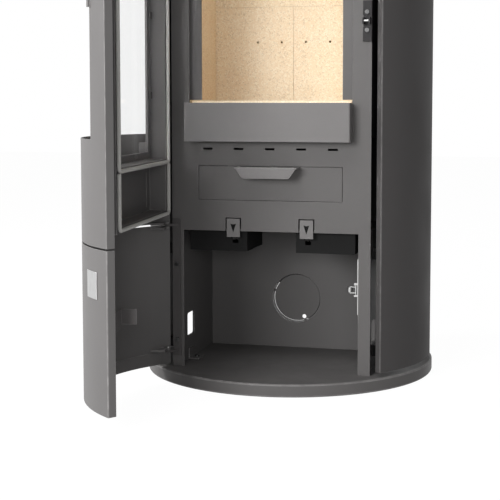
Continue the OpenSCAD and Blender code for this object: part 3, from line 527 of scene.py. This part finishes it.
# %% [markdown]
# ## Dressing a CAD part
# A CAD node's mesh is loose triangles with knife-sharp edges, and a real sheet edge always has a small
# radius that shows as a thin bright line. So a visible part is copied, its triangles are merged, its
# flat faces are joined, and its sharp edges are bevelled. The copy rides on the same body and stands
# for the CAD node, which is left as it is.


# %% Helpers for dressed parts
def merged(node, weld=0.02 * MM, flat=0.4):
    """A bmesh copy of a CAD node with its doubles merged and its flat faces joined."""
    bm = bmesh.new()
    bm.from_mesh(nodes[node].data)
    bmesh.ops.remove_doubles(bm, verts=bm.verts, dist=weld)
    bmesh.ops.dissolve_degenerate(bm, edges=bm.edges, dist=weld)
    bmesh.ops.dissolve_limit(bm, angle_limit=radians(flat), verts=bm.verts, edges=bm.edges)
    return bm


def sharp_edges(bm, angle=28):
    """The edges that turn by more than angle degrees."""
    return [e for e in bm.edges if e.is_manifold and e.calc_face_angle(0) > radians(angle)]


def soften(bm, edge_list, radius, steps=2, mark=True):
    """Bevels edges to a radius, and notes the new faces in the attribute worn."""
    worn_layer = bm.faces.layers.float.get("worn") or bm.faces.layers.float.new("worn")
    edge_list = [e for e in edge_list if e.is_valid]
    if not edge_list:
        return
    made = bmesh.ops.bevel(bm, geom=edge_list, offset=radius, offset_type="OFFSET", segments=steps,
                           profile=0.5, affect="EDGES", material=-1, clamp_overlap=True)
    for face in made["faces"]:
        if face.is_valid:
            face[worn_layer] = 1.0 if mark else 0.0


def place(bm, name, material, body, slot, stands_for=()):
    """Turns a bmesh into a piece at the origin that rides on a body."""
    mesh = bpy.data.meshes.new(name)
    bm.to_mesh(mesh)
    bm.free()
    mesh.materials.append(material)
    for polygon in mesh.polygons:
        polygon.use_smooth = True
    mesh.set_sharp_from_angle(angle=radians(32))
    piece = bpy.data.objects.new(name, mesh)
    bpy.context.scene.collection.objects.link(piece)
    evened = piece.modifiers.new("even_normals", "WEIGHTED_NORMAL")
    evened.keep_sharp = True
    evened.weight = 90
    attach(piece, body)
    if stands_for:
        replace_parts(piece, *stands_for)
    return piece


def dress(node, material, radius=0.5, steps=2, bends=None, bend_radius=2.5, bend_painted_highlight=False):
    """A bevelled copy of a CAD node. bends picks the folds, which get a larger radius and may get the rubbed-edge
    colour as a painted highlight.
    """
    bm = merged(node)
    if bends:
        folds = [e for e in sharp_edges(bm) if bends((e.verts[0].co + e.verts[1].co) / 2,
                                                     (e.verts[1].co - e.verts[0].co).normalized())]
        soften(bm, folds, bend_radius * MM, 4, mark=bend_painted_highlight)
    soften(bm, sharp_edges(bm, 35), radius * MM, steps)
    slot = next(s["material_slot"] for s in frame["record"]["subparts"] if s["node"] == node)
    piece = place(bm, node + "_dressed", material, body_of_node[node], slot, [node])
    print(piece.name, len(piece.data.polygons), "faces")


def repaint(node, material):
    """Keeps a CAD node's shape and gives it a finish."""
    mesh = nodes[node].data
    mesh.materials.clear()
    mesh.materials.append(material)
    print(node, "keeps its shape, in", material.name)


# %% [markdown]
# ## Plinth and wood compartment
# The plinth is a thick round plate with a small radius on both rims. The compartment is folded from
# painted sheet like the front plate. It looks darker because it lies in shade; its paint is a little lighter
# than the plate's, which paints some light into that shade, and the lamps make the rest of the difference.
# The inlet's spigot is taken as bare steel, whose reflection is the light in the slit round the blank.

# %% Plinth and compartment
dress("base_plate", grey_paint, 1.2, 3)
for node, radius in (("floor_brackets", 0.4), ("left_inner_wall", 0.5), ("right_inner_wall", 0.5),
                     ("rear_inner_wall", 0.6), ("ceiling_plate", 0.4), ("inlet_blank", 0.3)):
    dress(node, lit_compartment_paint, radius)
dress("air_spigot", ground_steel, 0.4)

# %% [markdown]
# ## Front plate, ash drawer and log guard
# These are the sheets that face the viewer. The log guard is a shallow tray: its two ends are folded
# back from the face, so these two upright edges are bends of a few millimetres and not cut edges.

# %% Front plate and drawer
dress("front_plate", grey_paint, 0.5)
dress("ash_drawer", grey_paint, 0.4)
dress("drawer_handle", lit_guard_paint, 0.9, 3)
dress("air_tab_left", lit_guard_paint, 0.4)
dress("air_tab_right", lit_guard_paint, 0.4)
guard_low, guard_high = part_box("log_guard")


def guard_fold(middle, direction):
    """The upright outer edges at the guard's two front corners."""
    near_front = middle.y < guard_low.y + 1 * MM
    near_end = min(middle.x - guard_low.x, guard_high.x - middle.x) < 1 * MM
    return near_front and near_end and abs(direction.z) > 0.9


dress("log_guard", lit_guard_paint, 0.5, bends=guard_fold, bend_radius=2.6)

# %% [markdown]
# ## Firebox
# The bricks are pressed in moulds and their edges crumble, so they get a wider and softer bevel than
# the steel. The grate is a rough casting. The two air boxes lie in shade and look nearly black in the
# picture, so they get a paint darker than the black paint: painted shade.

# %% Firebox
for node in ("brick_left", "brick_right", "brick_back_left", "brick_back_right", "brick_back_upper",
             "brick_front", "brick_floor_left", "brick_floor_right", "brick_floor_mid", "baffle_brick"):
    dress(node, fire_brick, 0.8, 2)
for node in ("firebox_shell", "ash_housing"):
    dress(node, black_paint, 0.4)
for node in ("brick_keeper_left", "brick_keeper_right"):
    dress(node, grey_paint, 0.5)
dress("grate", cast_iron, 0.8, 2)
for node in ("air_box_left", "air_box_right"):
    dress(node, shade_black_paint, 0.4)

# %% [markdown]
# ## Cladding and top
# The cladding is rolled sheet. Its front edge on the right is folded inwards, and that fold is the
# bright upright line beside the opening. The edge where the rolled face meets the fold is found by its
# place on the outer circle, and it gets the bend radius of thin sheet. On the right, the side that is seen,
# its bevel also gets the lighter rubbed-edge colour, which is a painted highlight along the fold.

# %% Cladding and top
skin_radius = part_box("side_panel_right")[1].x
print("cladding radius", round(skin_radius / MM, 1), "mm")


def rolled_fold(middle, direction):
    """Upright edges on the outer circle of the cladding, at its front end."""
    return abs(direction.z) > 0.9 and abs(Vector((middle.x, middle.y)).length - skin_radius) < 0.3 * MM \
        and middle.y < 0


# The right fold's lighter bevel is a painted highlight.
dress("side_panel_right", shaded_side_paint, 0.4, bends=rolled_fold, bend_radius=1.9, bend_painted_highlight=True)
dress("side_panel_left", shaded_side_paint, 0.4, bends=rolled_fold, bend_radius=1.2)
dress("rear_cover", black_paint, 0.4)
dress("panel_brackets", black_paint, 0.3)
dress("top_plate", grey_paint, 0.6)
dress("top_stone", soapstone, 0.6, 2)
dress("flue_collar", black_paint, 0.5)

# %% [markdown]
# ## Doors
# Both doors are rolled sheet skins with one folded edge each. Behind the upper one sits a deep frame that
# holds the glass and the seals. The fold is found on the open door by turning each edge's middle back to
# the closed position, where the skin lies on the same circle as the cladding. The fold's bevel gets the
# lighter rubbed-edge colour as a painted highlight.

# %% Turning between the open and the closed door
hinge = next(j for j in frame["joints"] if j["name"] == "upper_door_hinge")
hinge_line = Vector((hinge["pos_m"][0], hinge["pos_m"][1], 0))
open_turn = Matrix.Rotation(radians(hinge["range_deg"][0]), 3, "Z")
close_turn = open_turn.inverted()


def on_open_door(x, y, z):
    """A point given in mm on the closed door, at its place on the open one."""
    return hinge_line + open_turn @ (Vector((x, y, z)) * MM - hinge_line)


def when_closed(point):
    """A point in metres on the open door, at its place on the closed one."""
    return hinge_line + close_turn @ (point - hinge_line)


def door_fold(middle, direction):
    """Upright edges of an open door's skin at the folded free edge."""
    shut = when_closed(middle)
    return abs(direction.z) > 0.9 and shut.x > 100 * MM \
        and abs(Vector((shut.x, shut.y)).length - skin_radius) < 0.3 * MM


print("doors stand open by", -hinge["range_deg"][0], "degrees")

# %% Doors
# The doors' folds get a lighter bevel as a painted highlight.
dress("upper_door_skin", lit_door_paint, 0.4, bends=door_fold, bend_radius=1.9, bend_painted_highlight=True)
dress("lower_door_skin", lit_door_paint, 0.4, bends=door_fold, bend_radius=1.9, bend_painted_highlight=True)
dress("upper_door_frame", frame_paint, 1.0, 2)
repaint("door_glass", clear_glass)
dress("glass_clips", dark_paint, 0.3)
dress("finger_pull", ground_steel, 0.4)
dress("strike_plate", dark_paint, 0.4)
for node in ("latch_guides", "latch_rod", "door_grip"):
    dress(node, black_paint, 0.4)

# %% [markdown]
# ## Latch keeper, hinges and catch
# Small steel parts: the keeper is black, the hinge strips are dark like the clips, and the pins and the
# roller catch are plated.

# %% Small steel parts
dress("latch_keeper", black_paint, 0.4)
for node in ("hinge_strip_lower", "hinge_strip_upper"):
    dress(node, dark_paint, 0.4)
for node in ("keeper_pin", "catch_strip", "catch_arm", "catch_roller", "hinge_pins"):
    dress(node, zinc, 0.25)

# %% [markdown]
# ## Door seals
# The seal is a glass-fibre rope that is glued into the frame's groove: a long loop round the window and
# a shorter U below it, open at the top. A rope of four twisted strands reads as a braid at this distance.
# Each strand is a curve that winds round the seal's path, and the curve's round bevel makes it solid.


# %% Path of a seal
def loop_path(half, low, high, corner=6, step=1.4, open_top=False):
    """Points in mm along an upright rectangle with rounded corners, or along a U, about step mm apart."""
    corners = [(-half, low), (half, low), (half, high), (-half, high)]
    if open_top:
        corners = [(-half, high), (-half, low), (half, low), (half, high)]
    points = []
    count = len(corners)
    for i, (x, z) in enumerate(corners):
        before, after = corners[i - 1], corners[(i + 1) % count]
        if open_top and i in (0, count - 1):
            points.append(Vector((x, z)))
            continue
        here = Vector((x, z))
        back = (Vector(before) - here).normalized()
        on = (Vector(after) - here).normalized()
        centre = here + (back + on) * corner
        for k in range(7):
            turn = k / 6 * pi / 2
            points.append(centre - on * corner * cos(turn) - back * corner * sin(turn))
    if not open_top:
        points.append(points[0].copy())
    spaced = []
    for a, b in zip(points, points[1:]):
        parts = max(1, round((b - a).length / step))
        spaced += [a.lerp(b, k / parts) for k in range(parts)]
    if open_top:
        spaced.append(points[-1])
    return spaced


seal_half = 157
window_low, window_high = 398, 957
recess_low, recess_high = 307, 394.2
print("loop of", len(loop_path(seal_half, window_low, window_high)), "points")


# %% Twisted strands
def strands(name, half, low, high, open_top, deep=-168.8, wind=1.75, thick=1.68, pitch=13.0):
    """Four strands that wind round a seal's path, as curves with a round bevel, joined in one piece."""
    path = loop_path(half, low, high, open_top=open_top)
    count = len(path)
    length = sum((path[(k + 1) % count] - path[k]).length for k in range(count - int(open_top)))
    turns = round(length / pitch)
    curve = bpy.data.curves.new(name, "CURVE")
    curve.dimensions = "3D"
    curve.bevel_depth = thick * MM
    curve.bevel_resolution = 1
    curve.use_fill_caps = True
    for strand in range(4):
        spline = curve.splines.new("POLY")
        spline.points.add(count - 1)
        spline.use_cyclic_u = not open_top
        travelled = 0.0
        for k, (x, z) in enumerate(path):
            before = path[k - 1] if k or not open_top else path[0]
            after = path[(k + 1) % count] if k < count - 1 or not open_top else path[-1]
            ahead = (after - before).normalized()
            side = Vector((ahead.y, -ahead.x))
            angle = 2 * pi * (turns * travelled / length + strand / 4)
            aside = wind * cos(angle)
            point = on_open_door(x + side.x * aside, deep + wind * sin(angle), z + side.y * aside)
            spline.points[k].co = (*point, 1)
            if k < count - 1:
                travelled += (path[k + 1] - path[k]).length
    curve.materials.append(seal_rope)
    piece = bpy.data.objects.new(name, curve)
    bpy.context.scene.collection.objects.link(piece)
    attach(piece, "upper_door")
    print(name, "path", round(length), "mm,", turns, "turns of four strands")
    return piece


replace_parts(strands("seal_upper_strands", seal_half, window_low, window_high, False), "seal_upper")
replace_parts(strands("seal_lower_strands", seal_half, recess_low, recess_high, True), "seal_lower")

# %% [markdown]
# ## Socket screws
# Hexagon socket screws hold the keeper, the hinge strips and the floor brackets. Each has a round head
# with a small edge radius and a six-sided hole. A head is made from one circle: it is extruded to its
# height and its rim is bevelled. Then the top is inset, the inner points are moved onto a hexagon, and
# that inner face is pushed down.

# %% Form of one head
head_radius, head_high, head_wall, socket_radius, socket_deep = 4.0, 2.5, 1.4, 2.2, 1.7
form = bmesh.new()
bmesh.ops.create_circle(form, cap_ends=True, radius=head_radius * MM, segments=24)
form.faces.ensure_lookup_table()
raised = bmesh.ops.extrude_face_region(form, geom=[form.faces[0]])["geom"]
bmesh.ops.translate(form, verts=[g for g in raised if isinstance(g, bmesh.types.BMVert)],
                    vec=(0, 0, head_high * MM))
rim = list(next(g for g in raised if isinstance(g, bmesh.types.BMFace)).edges)
bmesh.ops.bevel(form, geom=rim, offset=0.5 * MM, offset_type="OFFSET", segments=2, profile=0.5,
                affect="EDGES", material=-1)
cap = max(form.faces, key=lambda f: f.calc_center_median().z)
bmesh.ops.inset_region(form, faces=[cap], thickness=head_wall * MM, use_even_offset=True)
for v in cap.verts:
    a = atan2(v.co.y, v.co.x)
    reach = socket_radius * MM * cos(pi / 6) / cos(a % (pi / 3) - pi / 6)
    v.co.x, v.co.y = reach * cos(a), reach * sin(a)
sunk = bmesh.ops.extrude_face_region(form, geom=[cap])["geom"]
bmesh.ops.translate(form, verts=[g for g in sunk if isinstance(g, bmesh.types.BMVert)],
                    vec=(0, 0, -socket_deep * MM))
if cap.is_valid:
    bmesh.ops.delete(form, geom=[cap], context="FACES_ONLY")
bmesh.ops.recalc_face_normals(form, faces=form.faces)
print("one head:", len(form.faces), "faces,", sum(not e.is_manifold for e in form.edges), "open edges")
form_mesh = bpy.data.meshes.new("socket_head_form")
form.to_mesh(form_mesh)
form.free()

# %% [markdown]
# The CAD node holds all the heads as plain short cylinders. Each is an island of its own in the mesh, so
# its box gives its seat. A box less than 4 mm high is a head that looks up, and any other looks forwards.


# %% Heads on their seats
def islands(bm):
    """The vertices of each separate solid in a mesh."""
    left, found = set(bm.verts), []
    while left:
        group, edge_of = set(), [left.pop()]
        while edge_of:
            v = edge_of.pop()
            group.add(v)
            for e in v.link_edges:
                other = e.other_vert(v)
                if other in left:
                    left.discard(other)
                    edge_of.append(other)
        found.append(group)
    return found


plain = merged("body_screws")
heads = bmesh.new()
for group in islands(plain):
    low = Vector([min(v.co[k] for v in group) for k in range(3)])
    high = Vector([max(v.co[k] for v in group) for k in range(3)])
    middle = (low + high) / 2
    upright = high.z - low.z < 4 * MM
    seat = Vector((middle.x, middle.y, low.z)) if upright else Vector((middle.x, high.y, middle.z))
    turn = Matrix.Identity(4) if upright else Matrix.Rotation(radians(90), 4, "X")
    start = len(heads.verts)
    heads.from_mesh(form_mesh)
    heads.verts.ensure_lookup_table()
    bmesh.ops.transform(heads, matrix=Matrix.Translation(seat) @ turn, verts=heads.verts[start:])
plain.free()
bpy.data.meshes.remove(form_mesh)
place(heads, "socket_heads", dark_screw, "stove_body", "bare_steel", ["body_screws"])
print("heads on their seats")

# %% [markdown]
# ## Arrows on the air controls
# Each air control carries a small printed arrow that points down, the way it is pushed. It is an
# arrowhead with a shallow notch on the tab's face: one face, pushed out by a thin film's thickness.


# %% Arrows
arrow_half, arrow_notch, arrow_long, arrow_down, film_thick = 5.2, 1.2, 16.0, 9, 0.15


def arrow(tab, body):
    """A printed arrowhead on the face of one tab."""
    low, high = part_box(tab)
    middle, face, top = (low.x + high.x) / 2, low.y, high.z - arrow_down * MM
    bm = bmesh.new()
    corners = [(-arrow_half, 0), (0, -arrow_notch), (arrow_half, 0), (0, -arrow_long)]
    points = [bm.verts.new((middle + x * MM, face, top + z * MM)) for x, z in corners]
    film = bm.faces.new(points)
    bmesh.ops.recalc_face_normals(bm, faces=[film])
    lifted = bmesh.ops.extrude_face_region(bm, geom=[film])["geom"]
    bmesh.ops.translate(bm, verts=[g for g in lifted if isinstance(g, bmesh.types.BMVert)],
                        vec=(0, -film_thick * MM, 0))
    bmesh.ops.recalc_face_normals(bm, faces=bm.faces)
    print(tab, "arrow from z", round(top / MM, 1), "open edges", sum(not e.is_manifold for e in bm.edges))
    place(bm, tab + "_arrow", mark_ink, body, "black_paint")


arrow("air_tab_left", "tab_left")
arrow("air_tab_right", "tab_right")

# %% [markdown]
# ## Painted-shade ring behind the inlet's slit
# The inlet's blank is cut free by a fine slit, and in the picture light shows only at the slit's lower
# left. What keeps the rest dark on the real stove isn't known, so this invented black ring segment paints
# that darkness in as shade: its angles were read off the picture, and it may be deleted. Its cross-section
# is one rectangle, and a spin about the inlet's axis makes the ring from it.

# %% Inlet painted-shade ring
shade_ring_from, shade_ring_turn, shade_ring_steps = radians(-62), radians(204), 48
low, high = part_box("inlet_blank")
axis_point = Vector(((low.x + high.x) / 2, 0, (low.z + high.z) / 2))
blank_radius = (high.x - low.x) / 2
shade_ring_radii = (blank_radius - 4.2 * MM, blank_radius - 0.3 * MM)
shade_ring_near, shade_ring_far = high.y + 0.2 * MM, high.y + 1.2 * MM
outwards = Vector((cos(shade_ring_from), 0, sin(shade_ring_from)))
bm = bmesh.new()
section = bm.faces.new([bm.verts.new(axis_point + outwards * radius + Vector((0, y, 0)))
                        for radius, y in ((shade_ring_radii[0], shade_ring_near), (shade_ring_radii[1], shade_ring_near),
                                          (shade_ring_radii[1], shade_ring_far), (shade_ring_radii[0], shade_ring_far))])
bmesh.ops.spin(bm, geom=[section, *section.edges, *section.verts], cent=axis_point, axis=(0, -1, 0),
               angle=shade_ring_turn, steps=shade_ring_steps)
bmesh.ops.recalc_face_normals(bm, faces=bm.faces)
print("sleeve", len(bm.faces), "faces, open edges", sum(not e.is_manifold for e in bm.edges))
# A black ring segment as painted shade over most of the slit.
place(bm, "inlet_painted_shade_ring", black_paint, body_of_node["inlet_blank"], "black_paint")
